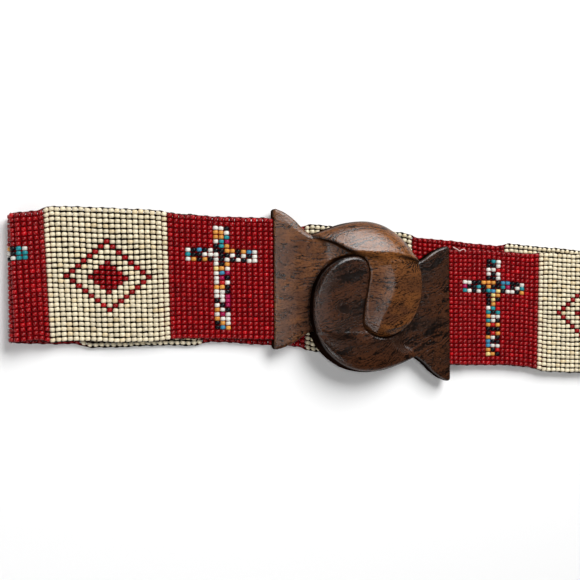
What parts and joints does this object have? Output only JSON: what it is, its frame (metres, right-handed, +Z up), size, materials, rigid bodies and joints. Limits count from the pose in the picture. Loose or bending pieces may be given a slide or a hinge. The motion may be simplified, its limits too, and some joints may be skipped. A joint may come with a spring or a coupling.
{
  "type": "beaded belt",
  "caption": "Stretch belt of woven seed beads in red and cream panels, fastened by two carved wooden hooks that clasp each other, lying flat.",
  "frame": {"origin": "on the surface that the belt lies on, under the middle of the clasp", "axes": "+X along the flattened belt, from the left hook to the right one; +Y across it; +Z up"},
  "size_m": [0.387, 0.0966, 0.02],
  "materials": {
    "red_beads": "opaque deep red seed beads, glossy",
    "cream_beads": "opaque cream seed beads, satin",
    "accent_beads": "opaque seed beads in mixed bright colours, glossy",
    "elastic_cord": "thin black elastic cord, matt",
    "thread_end": "loose end of white sewing thread",
    "carved_wood": "dark brown close grained wood, carved, rubbed and waxed"
  },
  "bodies": {
    "root": {"beaded_band": "red_beads", "buckle_hook_left": "carved_wood", "buckle_hook_right": "carved_wood"}
  },
  "joints": []
}
